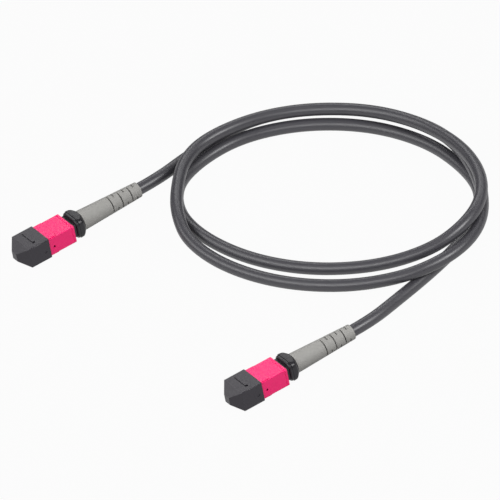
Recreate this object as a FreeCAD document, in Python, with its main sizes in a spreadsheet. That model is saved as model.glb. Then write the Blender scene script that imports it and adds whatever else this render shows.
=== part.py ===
"""MPO patch cable: a round trunk cable with a capped multi-fibre plug on each end.

Each plug is built about its own axis: x across, y from the dust cap's rear edge back towards the
cable, z up from the axis. The whole part rests on z = 0 with its origin between the two plugs.
"""
import FreeCAD, Part
import math
import os
import re

import Sketcher
from FreeCAD import Rotation, Vector

SIZES = {
    # where the two plugs lie
    "plug_pitch": 151.0,
    "plug_stagger": 8.7,
    # fibre and cable
    "ribbon_width": 3.1,
    "ribbon_height": 0.32,
    "cable_diameter": 5.5,
    "cable_setback": 0.4,
    # ferrule and what rides with it
    "ferrule_width": 6.4,
    "ferrule_height": 2.5,
    "ferrule_proud": 1.2,
    "ferrule_shank_length": 6.0,
    "ferrule_flange_rise": 0.35,
    "ferrule_flange_step": 0.4,
    "ferrule_flange_length": 2.0,
    "ferrule_float": 0.8,
    "guide_hole_diameter": 0.7,
    "guide_hole_pitch": 4.6,
    "guide_hole_depth": 5.0,
    "spacer_thickness": 1.4,
    "ferrule_boot_margin": 0.25,
    "ferrule_boot_height": 1.6,
    "ferrule_boot_length": 4.8,
    "chamber_gap": 0.2,
    # springs
    "spring_ribbon_gap": 0.1,
    "spring_gap": 0.25,
    "spring_wire": 0.5,
    "spring_turns": 5.0,
    "side_spring_diameter": 1.5,
    "side_spring_wire": 0.3,
    "side_spring_turns": 4.0,
    "side_groove_start": 3.2,
    "side_groove_wall": 0.3,
    "side_groove_depth": 1.7,
    "lug_length": 0.8,
    "seat_gap": 0.1,
    # plug frame
    "frame_width": 9.8,
    "frame_wall": 0.55,
    "frame_reach": 9.0,
    "frame_tail": 12.2,
    "frame_mouth_gap": 0.15,
    "key_width": 2.8,
    "key_setback": 0.6,
    "key_length": 5.0,
    "key_gap": 0.3,
    "latch_depth": 0.9,
    "latch_height": 2.4,
    "latch_setback": 4.2,
    "latch_length": 2.5,
    # coupling sleeve
    "slide_gap": 0.2,
    "sleeve_wall": 0.95,
    "sleeve_side_wall": 1.2,
    "sleeve_length": 13.2,
    "sleeve_nose_length": 5.3,
    "sleeve_nose_wall": 0.75,
    "sleeve_band_inset": 0.4,
    "sleeve_band_rise": 0.4,
    "sleeve_band_length": 4.2,
    "sleeve_rim_length": 1.1,
    "sleeve_rim_height": 0.2,
    "sleeve_corner_radius": 0.9,
    "sleeve_edge_radius": 0.25,
    "sleeve_hole_diameter": 1.15,
    "sleeve_hole_place": 2.4,
    "sleeve_hole_drop": 0.6,
    "sleeve_hole_lip": 0.25,
    "sleeve_travel": 1.6,
    # dust cap
    "cap_wall": 0.8,
    "cap_fit": 0.1,
    "cap_end_gap": 0.2,
    "cap_nose_length": 4.0,
    "cap_nose_width": 3.5,
    "cap_nose_height": 3.8,
    "cap_edge_radius": 0.35,
    "cap_groove_width": 0.5,
    "cap_groove_length": 9.0,
    "cap_groove_depth": 0.3,
    "cap_groove_place": 6.4,
    "cap_slot_width": 1.0,
    "cap_slot_length": 1.4,
    "cap_slot_depth": 0.65,
    "cap_slot_offset": 3.65,
    "cap_dimple_diameter": 1.3,
    "cap_dimple_depth": 0.2,
    "cap_dimple_place": 2.4,
    "cap_dimple_drop": 0.55,
    # back post and crimp
    "tube_start": 7.5,
    "tube_wall": 0.4,
    "socket_wall": 1.1,
    "collar_length": 3.7,
    "collar_width": 11.7,
    "collar_height": 9.1,
    "collar_corner_radius": 2.6,
    "collar_rear_radius": 1.0,
    "collar_bevel": 0.4,
    "barrel_wall": 0.7,
    "barrel_ribbon_gap": 0.25,
    "barrel_length": 8.6,
    "ring_wall": 0.65,
    "ring_setback": 0.6,
    "ring_fit": 0.05,
    # strain relief
    "relief_length": 31.1,
    "relief_front_wall": 1.2,
    "relief_rear_wall": 0.6,
    "relief_socket_gap": 0.2,
    "relief_grip_gap": 0.1,
    "slit_width": 0.5,
    "slit_pitch": 2.5,
    "slit_margin": 2.5,
    "slit_rows": 6.0,
    "long_slit_angle": 144.0,
    "short_slit_angle": 104.0,
    "slit_turn": 32.0,
}

# Formulas that several pieces share, from the ribbon outwards
SPRING_DIAMETER = "(ribbon_width + 2 * spring_ribbon_gap + 2 * spring_wire)"
SPRING_BORE = f"({SPRING_DIAMETER} + 2 * spring_gap)"
FRAME_HEIGHT = f"({SPRING_BORE} + 2 * frame_wall)"
BORE_WIDTH = "(frame_width + 2 * slide_gap)"
BORE_HEIGHT = f"({FRAME_HEIGHT} + 2 * slide_gap)"
SLEEVE_WIDTH = f"({BORE_WIDTH} + 2 * sleeve_side_wall)"
SLEEVE_HEIGHT = f"({BORE_HEIGHT} + 2 * sleeve_wall)"
NOSE_WIDTH = f"({BORE_WIDTH} + 2 * sleeve_nose_wall)"
NOSE_HEIGHT = f"({BORE_HEIGHT} + 2 * sleeve_nose_wall)"
CAP_BORE_WIDTH = f"({NOSE_WIDTH} + 2 * cap_fit)"
CAP_BORE_HEIGHT = f"({NOSE_HEIGHT} + 2 * cap_fit)"
CAP_WIDTH = f"({CAP_BORE_WIDTH} + 2 * cap_wall)"
CAP_HEIGHT = f"({CAP_BORE_HEIGHT} + 2 * cap_wall)"
CAP_LENGTH = "(frame_reach + cap_end_gap + cap_wall)"
CAP_TIP = f"({CAP_LENGTH} + cap_nose_length)"
AXIS_HEIGHT = f"{CAP_HEIGHT} / 2"
FERRULE_TIP = "(frame_reach + ferrule_proud)"
FLANGE_WIDTH = "(ferrule_width + 2 * ferrule_flange_step)"
FLANGE_HEIGHT = "(ferrule_height + 2 * ferrule_flange_rise)"
FLANGE_FRONT = f"(ferrule_shank_length - {FERRULE_TIP})"
FLANGE_REAR = f"({FLANGE_FRONT} + ferrule_flange_length)"
SPACER_REAR = f"({FLANGE_REAR} + spacer_thickness)"
FERRULE_BOOT_WIDTH = "(ribbon_width + 2 * ferrule_boot_margin)"
FERRULE_BOOT_START = f"({FLANGE_REAR} - ferrule_boot_length)"
LUG_START = "(side_groove_start + seat_gap)"
GROOVE_END = "(tube_start - side_groove_wall)"
SIDE_BOTTOM = "(frame_width / 2 - side_groove_depth)"
BARREL_BORE = "(ribbon_width + 2 * barrel_ribbon_gap)"
BARREL_DIAMETER = f"({BARREL_BORE} + 2 * barrel_wall)"
RING_DIAMETER = f"({BARREL_DIAMETER} + 2 * ring_fit + 2 * ring_wall)"
RING_LENGTH = "(barrel_length - ring_setback)"
TUBE_WIDTH = "(frame_width - 2 * socket_wall - 2 * seat_gap)"
TUBE_HEIGHT = f"({BARREL_BORE} + 2 * tube_wall)"
COLLAR_START = "(sleeve_length + sleeve_travel + slide_gap)"
COLLAR_REAR = f"({COLLAR_START} + collar_length)"
CABLE_START = f"({COLLAR_REAR} + barrel_length + cable_setback)"
RELIEF_FRONT_RADIUS = f"({RING_DIAMETER} / 2 + relief_socket_gap + relief_front_wall)"
RELIEF_REAR_RADIUS = "(cable_diameter / 2 + relief_grip_gap + relief_rear_wall)"
PLUG_LENGTH = f"({CAP_TIP} + {COLLAR_REAR} + relief_length)"
REST_Y = f"({CAP_TIP} - ({PLUG_LENGTH} + plug_stagger) / 2)"

# Two places closer than this are the same place
NEAR = 0.001

doc = FreeCAD.newDocument("mpo_patch_cable")
sheet = doc.addObject("Spreadsheet::Sheet", "Sizes")
for row, (alias, value) in enumerate(SIZES.items(), start=1):
    sheet.set(f"A{row}", alias)
    sheet.set(f"B{row}", str(value))
    sheet.setAlias(f"B{row}", alias)
doc.recompute()

sub_parts = []


def cells(text):
    """Turns size names in a formula into references to the sheet's cells."""
    return re.sub(r"[a-z]+(?:_[a-z]+)+", lambda found: "Sizes." + found[0], str(text))


def bind(target, **formulas):
    """Binds properties to formulas; a double underscore in a name stands for a dot."""
    for prop, formula in formulas.items():
        target.setExpression(prop.replace("__", "."), cells(formula))


def number(formula):
    """Works a formula out with the sheet's own values, for features that take plain numbers."""
    sheet.set("D1", "=" + formula)
    sheet.recompute()
    return float(sheet.get("D1"))


# The cable's route, in millimetres in the part's own frame: out of plug a, clockwise round the
# loops as seen from above, and into plug b. Low points lie on the table.
LOW = number("cable_diameter / 2")
AXIS = number(AXIS_HEIGHT)
LEAD_A = [(-75.5, 15.5, AXIS), (-75.5, 38, AXIS), (-80.5, 56.5, 3.6)]
FIRST_LOOP = [
    (-83, 73, LOW), (-83.2, 92, LOW), (-72.4, 112, LOW), (-52.2, 130.5, LOW), (-26, 140.3, 4.5),
    (1.5, 141.5, 7.7), (32, 133.5, 9), (54, 120.5, 9), (65, 106, 9), (68.5, 88.5, 9), (64.5, 69.5, 8.6),
    (47, 51, 5), (22, 35, LOW), (-4.5, 25, LOW), (-28.3, 22.1, 5), (-44.7, 27.7, 8.5), (-59.2, 37.7, 9.2),
    (-72.5, 50.4, 9.5),
]
SECOND_LOOP = [
    (-78.2, 65.7, 9.5), (-75.8, 88.2, 9), (-65.8, 108.7, 8), (-45, 127.1, 8.5), (-17.9, 136.8, 10.5),
    (12.5, 137.5, 14), (36.5, 132, 15.5), (53, 121.5, 15.5), (61, 107, 14.5), (61.5, 89.5, 11.5),
    (50, 69.5, 7.5), (28, 50.5, 4), (3, 36.5, 3.2), (-24, 30, LOW), (-48.8, 30.8, LOW), (-68.2, 41.8, LOW),
]
THIRD_ARC = [
    (-75.8, 61, LOW), (-75.8, 82.7, LOW), (-63.8, 105.8, LOW), (-41.7, 125.2, LOW), (-14, 136, LOW),
    (12, 137, LOW), (33.5, 132.5, LOW), (49.5, 118.5, LOW),
]
LEAD_B = [(58.5, 100.5, LOW), (64.5, 82, LOW), (69.5, 64, 3.2), (75.3, 46.5, AXIS), (75.5, 24, AXIS)]
ROUTE = LEAD_A + FIRST_LOOP + SECOND_LOOP + THIRD_ARC + LEAD_B
ARC_SHARE = 0.45


class Plug:
    """One end of the cable: where its pieces are put and how they are labelled."""

    def __init__(self, letter, side, stagger):
        self.letter = letter
        self.side = side
        self.stagger = stagger

    def body(self, name):
        body = doc.addObject("PartDesign::Body", f"{name}_{self.letter}")
        self.put(body)
        return body

    def put(self, piece):
        piece.Label = piece.Name
        bind(
            piece,
            Placement__Base__x=f"{self.side} * plug_pitch / 2",
            Placement__Base__y=f"{REST_Y} + {self.stagger} * plug_stagger",
            Placement__Base__z=AXIS_HEIGHT,
        )
        sub_parts.append(piece)


def origin_plane(body, role):
    return next(feature for feature in body.Origin.OriginFeatures if feature.Role == role)


def cross_section(body, name, y, x="0", z="0"):
    """An empty sketch across the plug's axis at a given y, with its own origin at x and z."""
    sketch = body.newObject("Sketcher::SketchObject", name)
    sketch.AttachmentSupport = (origin_plane(body, "XZ_Plane"), [""])
    sketch.MapMode = "FlatFace"
    bind(
        sketch,
        AttachmentOffset__Base__x=x,
        AttachmentOffset__Base__y=z,
        AttachmentOffset__Base__z=f"-({y})",
    )
    return sketch


def rectangle(sketch, width, height):
    """A rectangle centred on the sketch's origin, its width and height bound to formulas."""
    half_w, half_h = number(width) / 2, number(height) / 2
    corners = [(-half_w, -half_h), (half_w, -half_h), (half_w, half_h), (-half_w, half_h)]
    points = [Vector(x, y, 0) for x, y in corners]
    for i in range(4):
        sketch.addGeometry(Part.LineSegment(points[i], points[(i + 1) % 4]), False)
    for i in range(4):
        sketch.addConstraint(Sketcher.Constraint("Coincident", i, 2, (i + 1) % 4, 1))
        sketch.addConstraint(Sketcher.Constraint("Horizontal" if i % 2 == 0 else "Vertical", i))
    sketch.addConstraint(Sketcher.Constraint("Symmetric", 0, 1, 2, 1, -1, 1))
    for side, label, formula in ((0, "width", width), (1, "height", height)):
        kind = "DistanceX" if side == 0 else "DistanceY"
        index = sketch.addConstraint(Sketcher.Constraint(kind, side, 1, side, 2, number(formula)))
        sketch.renameConstraint(index, label)
        sketch.setExpression(f"Constraints.{label}", cells(formula))
    return sketch


def rounded_rectangle(sketch, width, height, radius):
    """A centred rectangle with round corners; its sizes are bound to formulas."""
    r = number(radius)
    half_w, half_h = number(width) / 2, number(height) / 2
    x, y = half_w - r, half_h - r
    inner = [(x, -y), (x, y), (-x, y), (-x, -y)]
    ends = []
    for i, centre in enumerate(inner):
        first = math.radians(90 * i - 90)
        round_corner = Part.Circle(Vector(*centre, 0), Vector(0, 0, 1), r)
        arc = Part.ArcOfCircle(round_corner, first, first + math.pi / 2)
        sketch.addGeometry(arc, False)
        ends.append((arc.StartPoint, arc.EndPoint))
    for i in range(4):
        sketch.addGeometry(Part.LineSegment(ends[i][1], ends[(i + 1) % 4][0]), False)
    for i in range(4):
        line, following = 4 + i, (i + 1) % 4
        sketch.addConstraint(Sketcher.Constraint("Tangent", i, 2, line, 1))
        sketch.addConstraint(Sketcher.Constraint("Tangent", line, 2, following, 1))
        sketch.addConstraint(Sketcher.Constraint("Vertical" if i % 2 == 0 else "Horizontal", line))
    for i in (1, 2, 3):
        sketch.addConstraint(Sketcher.Constraint("Equal", 0, i))
    sketch.addConstraint(Sketcher.Constraint("Symmetric", 0, 3, 2, 3, -1, 1))
    measures = (
        ("radius", Sketcher.Constraint("Radius", 0, r), radius),
        ("width", Sketcher.Constraint("DistanceX", 6, 1, 4, 1, 2 * half_w), width),
        ("height", Sketcher.Constraint("DistanceY", 7, 1, 5, 1, 2 * half_h), height),
    )
    for label, constraint, formula in measures:
        sketch.renameConstraint(sketch.addConstraint(constraint), label)
        sketch.setExpression(f"Constraints.{label}", cells(formula))
    return sketch


def place_point(sketch, line, label, horizontal, formula):
    """Binds one coordinate of a line's first point to a formula."""
    kind = "DistanceX" if horizontal else "DistanceY"
    index = sketch.addConstraint(Sketcher.Constraint(kind, -1, 1, line, 1, number(formula)))
    sketch.renameConstraint(index, label)
    sketch.setExpression(f"Constraints.{label}", cells(formula))


def circle(sketch, diameter):
    """A circle centred on the sketch's origin, its diameter bound to a formula."""
    sketch.addGeometry(Part.Circle(Vector(), Vector(0, 0, 1), number(diameter) / 2), False)
    sketch.addConstraint(Sketcher.Constraint("Coincident", 0, 3, -1, 1))
    index = sketch.addConstraint(Sketcher.Constraint("Diameter", 0, number(diameter)))
    sketch.renameConstraint(index, "diameter")
    sketch.setExpression("Constraints.diameter", cells(diameter))
    return sketch


def extrude(kind, body, name, sketch, length, backwards):
    feature = body.newObject(f"PartDesign::{kind}", name)
    feature.Profile = sketch
    feature.Reversed = backwards
    bind(feature, Length=length)
    sketch.Visibility = False
    return feature


def cut_both_ways(body, name, sketch, across):
    """A pocket to both sides of its sketch."""
    feature = extrude("Pocket", body, name, sketch, f"{across} + seat_gap", False)
    feature.Midplane = True
    return feature


def add_block(body, name, width, height, y, length, x="0", z="0"):
    """A block across the axis that starts at y and runs back by its length."""
    sketch = rectangle(cross_section(body, name + "_outline", y, x, z), width, height)
    return extrude("Pad", body, name, sketch, length, True)


def cut_block(body, name, width, height, y, length, x="0", z="0"):
    sketch = rectangle(cross_section(body, name + "_outline", y, x, z), width, height)
    return extrude("Pocket", body, name, sketch, length, False)


def add_round(body, name, diameter, y, length):
    sketch = circle(cross_section(body, name + "_outline", y), diameter)
    return extrude("Pad", body, name, sketch, length, True)


def cut_round(body, name, diameter, y, length, x="0", z="0"):
    sketch = circle(cross_section(body, name + "_outline", y, x, z), diameter)
    return extrude("Pocket", body, name, sketch, length, False)


def along_axis(edge):
    return isinstance(edge.Curve, Part.Line) and abs(edge.Curve.Direction.y) > 1 - NEAR


def soften(kind, body, name, size, chosen):
    """Fillets or chamfers the edges of the body's tip that a test picks."""
    doc.recompute()
    base = body.Tip
    edges = [f"Edge{i}" for i, edge in enumerate(base.Shape.Edges, start=1) if chosen(edge)]
    feature = body.newObject(f"PartDesign::{kind}", name)
    feature.Base = (base, edges)
    bind(feature, **{"Radius" if kind == "Fillet" else "Size": size})
    return feature


def side_round(body, name, diameter, depth, y, z, half_width, side):
    """A round blind recess in a side wall, sunk from a given half width."""
    sketch = body.newObject("Sketcher::SketchObject", name + "_outline")
    sketch.AttachmentSupport = (origin_plane(body, "YZ_Plane"), [""])
    sketch.MapMode = "FlatFace"
    bind(
        sketch,
        AttachmentOffset__Base__x=y,
        AttachmentOffset__Base__y=z,
        AttachmentOffset__Base__z=f"{side} * {half_width}",
    )
    circle(sketch, diameter)
    return extrude("Pocket", body, name, sketch, depth, side < 0)


def bevel_nose(body, name, role, outside, tip, across):
    """Cuts a wedge off both sides of the cap's nose, from its shoulder to its tip."""
    sketch = body.newObject("Sketcher::SketchObject", name + "_outline")
    sketch.AttachmentSupport = (origin_plane(body, role), [""])
    sketch.MapMode = "FlatFace"
    upright = role == "YZ_Plane"
    places = {"outer": f"{outside} / 2", "inner": f"{tip} / 2", "shoulder": CAP_LENGTH, "front": CAP_TIP}
    outer, inner, shoulder, front = (number(formula) for formula in places.values())
    for side in (1, -1):
        corners = [(side * outer, -shoulder), (side * outer, -front), (side * inner, -front)]
        points = [Vector(y, x, 0) if upright else Vector(x, y, 0) for x, y in corners]
        first = sketch.GeometryCount
        for i in range(3):
            sketch.addGeometry(Part.LineSegment(points[i], points[(i + 1) % 3]), False)
        for i in range(3):
            sketch.addConstraint(Sketcher.Constraint("Coincident", first + i, 2, first + (i + 1) % 3, 1))
        word = "right" if side > 0 else "left"
        sign = "" if side > 0 else "-"
        reached = (("outer", "shoulder"), ("outer", "front"), ("inner", "front"))
        for i, (sideways, along) in enumerate(reached):
            place_point(sketch, first + i, f"{word}_{i}_across", not upright, f"{sign}{places[sideways]}")
            place_point(sketch, first + i, f"{word}_{i}_along", upright, f"-{places[along]}")
    return cut_both_ways(body, name, sketch, across)


def make_dust_cap(plug):
    """A push-on cap: a thin-walled box with a four-sided tapered nose."""
    body = plug.body("dust_cap")
    add_block(body, "box", CAP_WIDTH, CAP_HEIGHT, f"-{CAP_TIP}", CAP_TIP)
    half_w, half_h = number(f"{CAP_WIDTH} / 2"), number(f"{CAP_HEIGHT} / 2")

    def outer_corner(edge):
        middle = edge.CenterOfMass
        return along_axis(edge) and abs(middle.x) > half_w - NEAR and abs(middle.z) > half_h - NEAR

    soften("Fillet", body, "corners", "cap_edge_radius", outer_corner)
    bevel_nose(body, "cheeks", "XY_Plane", CAP_WIDTH, "cap_nose_width", CAP_HEIGHT)
    bevel_nose(body, "brows", "YZ_Plane", CAP_HEIGHT, "cap_nose_height", CAP_WIDTH)
    hollow_end = f"({CAP_LENGTH} - cap_wall)"
    cut_block(body, "hollow", CAP_BORE_WIDTH, CAP_BORE_HEIGHT, f"-{hollow_end}", hollow_end)
    well = f"({FERRULE_TIP} + cap_wall)"
    cut_block(
        body, "ferrule_well", "(ferrule_width + 2 * cap_wall)", "(ferrule_height + 2 * cap_wall)",
        f"-{well}", well,
    )
    groove_end = "(cap_slot_offset + cap_slot_width / 2)"
    cut_block(
        body, "groove", "cap_groove_length", "(2 * cap_groove_depth)", "-cap_groove_place",
        "cap_groove_width", f"{groove_end} - cap_groove_length / 2", f"{CAP_HEIGHT} / 2",
    )
    cut_block(
        body, "slot", "cap_slot_width", "(2 * cap_slot_depth)", "-cap_groove_place", "cap_slot_length",
        "cap_slot_offset", f"{CAP_HEIGHT} / 2",
    )
    for side, word in ((1, "right"), (-1, "left")):
        side_round(
            body, f"{word}_dimple", "cap_dimple_diameter", "cap_dimple_depth", "-cap_dimple_place",
            "-cap_dimple_drop", f"{CAP_WIDTH} / 2", side,
        )


def make_coupling_sleeve(plug):
    """The sleeve that is pulled back to let the plug go: nose, front band, grip and rear rim."""
    body = plug.body("coupling_sleeve")
    rim = cross_section(body, "rim_outline", "sleeve_length - sleeve_rim_length")
    rim_width = f"({SLEEVE_WIDTH} + 2 * sleeve_rim_height)"
    rim_height = f"({SLEEVE_HEIGHT} + 2 * sleeve_rim_height)"
    rounded_rectangle(rim, rim_width, rim_height, "sleeve_corner_radius")
    extrude("Pad", body, "rim", rim, "sleeve_rim_length", True)
    rear = number("sleeve_length")
    soften(
        "Fillet", body, "rim_edge", "sleeve_edge_radius",
        lambda edge: all(abs(corner.Point.y - rear) < NEAR for corner in edge.Vertexes),
    )
    grip = cross_section(body, "grip_outline", "seat_gap")
    rounded_rectangle(grip, SLEEVE_WIDTH, SLEEVE_HEIGHT, "sleeve_edge_radius")
    extrude("Pad", body, "grip", grip, "sleeve_length - sleeve_rim_length - seat_gap", True)
    band_width = f"({SLEEVE_WIDTH} - 2 * sleeve_band_inset)"
    band_height = f"({SLEEVE_HEIGHT} + 2 * sleeve_band_rise)"
    add_block(body, "band", band_width, band_height, "seat_gap", "sleeve_band_length - seat_gap")
    add_block(body, "nose", NOSE_WIDTH, NOSE_HEIGHT, "-sleeve_nose_length", "sleeve_nose_length + seat_gap")
    cut_block(
        body, "bore", BORE_WIDTH, BORE_HEIGHT, "-sleeve_nose_length", "sleeve_nose_length + sleeve_length"
    )
    keyway_height = f"({NOSE_HEIGHT} - {BORE_HEIGHT})"
    cut_block(
        body, "keyway", "(key_width + 2 * key_gap)", keyway_height, "-sleeve_nose_length",
        "sleeve_nose_length - seat_gap", "0", f"{NOSE_HEIGHT} / 2",
    )
    lug_reach = f"({BORE_WIDTH} / 2 - {SIDE_BOTTOM} - slide_gap)"
    relief_depth = "(sleeve_side_wall - sleeve_hole_lip)"
    relief_size = "(sleeve_hole_diameter + 2 * sleeve_hole_lip)"
    for side, word in ((1, "right"), (-1, "left")):
        add_block(
            body, f"{word}_lug", f"{lug_reach} + seat_gap", "side_spring_diameter", LUG_START, "lug_length",
            f"{side} * ({BORE_WIDTH} / 2 - {lug_reach} / 2 + seat_gap / 2)",
        )
        side_round(
            body, f"{word}_hole", "sleeve_hole_diameter", "sleeve_side_wall", "sleeve_hole_place",
            "-sleeve_hole_drop", f"{SLEEVE_WIDTH} / 2", side,
        )
        cut_block(
            body, f"{word}_hole_relief", relief_depth, relief_size,
            f"sleeve_hole_place - {relief_size} / 2", relief_size,
            f"{side} * ({BORE_WIDTH} + {relief_depth}) / 2", "-sleeve_hole_drop",
        )


def make_plug_frame(plug):
    """The inner housing: ferrule mouth, spring chamber, key on top and latch notches at the sides."""
    body = plug.body("plug_frame")
    add_block(body, "shell", "frame_width", FRAME_HEIGHT, "-frame_reach", "frame_reach + frame_tail")
    key_top = f"({FRAME_HEIGHT} / 2 + sleeve_nose_wall)"
    add_block(
        body, "key", "key_width", key_top, "key_setback - frame_reach", "key_length", "0", f"{key_top} / 2"
    )
    cut_block(
        body, "mouth", "(ferrule_width + 2 * frame_mouth_gap)", "(ferrule_height + 2 * frame_mouth_gap)",
        "-frame_reach", "frame_reach",
    )
    chamber_start = f"({FLANGE_FRONT} - seat_gap)"
    chamber_length = f"({SPACER_REAR} + ferrule_float + chamber_gap - {chamber_start})"
    chamber_width = f"({FLANGE_WIDTH} + 2 * chamber_gap)"
    chamber_height = f"({FLANGE_HEIGHT} + 2 * chamber_gap)"
    cut_block(body, "chamber", chamber_width, chamber_height, chamber_start, chamber_length)
    cut_round(body, "spring_bore", SPRING_BORE, SPACER_REAR, f"tube_start - {SPACER_REAR}")
    cut_block(
        body, "socket", f"({TUBE_WIDTH} + 2 * seat_gap)", f"({TUBE_HEIGHT} + 2 * seat_gap)", "tube_start",
        "frame_tail - tube_start",
    )
    for side, word in ((1, "right"), (-1, "left")):
        cut_block(
            body, f"{word}_latch", "(2 * latch_depth)", "latch_height", "latch_setback - frame_reach",
            "latch_length", f"{side} * frame_width / 2",
        )
        cut_block(
            body, f"{word}_groove", "(2 * side_groove_depth)", "(side_spring_diameter + 2 * slide_gap)",
            "side_groove_start", f"{GROOVE_END} - side_groove_start", f"{side} * frame_width / 2",
        )


def make_ferrule(plug):
    """The ferrule: a flanged block with two guide holes, hollow at the rear for the ribbon."""
    body = plug.body("ferrule")
    add_block(body, "shank", "ferrule_width", "ferrule_height", f"-{FERRULE_TIP}", "ferrule_shank_length")
    add_block(body, "flange", FLANGE_WIDTH, FLANGE_HEIGHT, FLANGE_FRONT, "ferrule_flange_length")
    cut_block(
        body, "pocket", FERRULE_BOOT_WIDTH, "ferrule_boot_height", FERRULE_BOOT_START, "ferrule_boot_length"
    )
    for side, word in ((1, "right"), (-1, "left")):
        cut_round(
            body, f"{word}_guide_hole", "guide_hole_diameter", f"-{FERRULE_TIP}", "guide_hole_depth",
            f"{side} * guide_hole_pitch / 2",
        )


def make_ferrule_boot(plug):
    """The rubber boot in the ferrule's rear pocket, with a slot for the ribbon."""
    body = plug.body("ferrule_boot")
    length = "ferrule_boot_length + spacer_thickness"
    add_block(
        body, "block", f"({FERRULE_BOOT_WIDTH} - 2 * ring_fit)", "(ferrule_boot_height - 2 * ring_fit)",
        FERRULE_BOOT_START, length,
    )
    cut_block(
        body, "slot", "(ribbon_width + 2 * ring_fit)", "(ribbon_height + 2 * ring_fit)",
        FERRULE_BOOT_START, length,
    )


def make_pin_spacer(plug):
    """The plate between the ferrule and its spring."""
    body = plug.body("pin_spacer")
    add_block(body, "plate", FLANGE_WIDTH, FLANGE_HEIGHT, FLANGE_REAR, "spacer_thickness")
    cut_block(
        body, "window", f"({FERRULE_BOOT_WIDTH} + 2 * ring_fit)", "(ferrule_boot_height + 2 * ring_fit)",
        FLANGE_REAR, "spacer_thickness",
    )


def make_spring(name, diameter, wire, turns, start, end, x="0"):
    """A flat-sided wire compression spring along the plug's axis, between two seats."""
    coil = doc.addObject("Part::Helix", name + "_line")
    bind(
        coil,
        Radius=f"({diameter} - {wire}) / 2",
        Height=f"{end} - {start} - {wire} - 2 * ring_fit",
        Pitch=f"({end} - {start} - {wire} - 2 * ring_fit) / {turns}",
    )
    section = doc.addObject("Part::RegularPolygon", name + "_wire")
    section.Polygon = 4
    section.Placement.Rotation = Rotation(Vector(0, 0, 1), Vector(1, 0, 0), Vector(0, -1, 0), "ZXY")
    bind(section, Circumradius=f"{wire} / 2", Placement__Base__x=f"({diameter} - {wire}) / 2")
    spring = doc.addObject("Part::Sweep", name)
    spring.Sections = [section]
    spring.Spine = (coil, ["Edge1"])
    spring.Solid = True
    spring.Frenet = True
    spring.Placement.Rotation = Rotation(Vector(1, 0, 0), -90)
    bind(spring, Placement__Base__x=x, Placement__Base__y=f"{start} + {wire} / 2 + ring_fit")
    return spring


def make_springs(plug):
    """The ferrule's spring, and the pair of small springs at the sides of the plug frame."""
    letter = plug.letter
    centre = make_spring(
        f"ferrule_coil_{letter}", SPRING_DIAMETER, "spring_wire", "spring_turns", SPACER_REAR, "tube_start"
    )
    plug.put(gather(f"ferrule_spring_{letter}", [centre]))
    side_x = f"({SIDE_BOTTOM} + side_spring_diameter / 2 + ring_fit)"
    pair = [
        make_spring(
            f"{word}_coil_{letter}", "side_spring_diameter", "side_spring_wire", "side_spring_turns",
            f"({LUG_START} + lug_length)", GROOVE_END, f"{side} * {side_x}",
        )
        for side, word in ((1, "right"), (-1, "left"))
    ]
    plug.put(gather(f"coupling_springs_{letter}", pair))


def gather(name, pieces):
    group = doc.addObject("Part::Compound", name)
    group.Links = pieces
    return group


def make_back_post(plug):
    """The rear body: tube in the plug frame, neck, the collar that shows and the crimp barrel."""
    body = plug.body("back_post")
    add_block(body, "collar", "collar_width", "collar_height", COLLAR_START, "collar_length")
    soften("Fillet", body, "collar_corners", "collar_corner_radius", along_axis)
    front, rear = number(COLLAR_START), number(COLLAR_REAR)
    soften(
        "Fillet", body, "collar_rear_edge", "collar_rear_radius",
        lambda edge: all(abs(corner.Point.y - rear) < NEAR for corner in edge.Vertexes),
    )
    soften(
        "Chamfer", body, "collar_front_edge", "collar_bevel",
        lambda edge: all(abs(corner.Point.y - front) < NEAR for corner in edge.Vertexes),
    )
    add_block(body, "neck", "frame_width", FRAME_HEIGHT, "frame_tail", f"{COLLAR_START} - frame_tail")
    add_block(body, "tube", TUBE_WIDTH, TUBE_HEIGHT, "tube_start", "frame_tail - tube_start")
    add_round(body, "barrel", BARREL_DIAMETER, COLLAR_REAR, "barrel_length")
    cut_round(body, "bore", BARREL_BORE, "tube_start", f"{COLLAR_REAR} + barrel_length - tube_start")


def make_crimp_ring(plug):
    """The metal ring that is crimped over the cable's yarn on the barrel."""
    body = plug.body("crimp_ring")
    start = f"({COLLAR_REAR} + seat_gap)"
    add_round(body, "ring", RING_DIAMETER, start, RING_LENGTH)
    cut_round(body, "bore", f"({BARREL_DIAMETER} + 2 * ring_fit)", start, RING_LENGTH)


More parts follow.
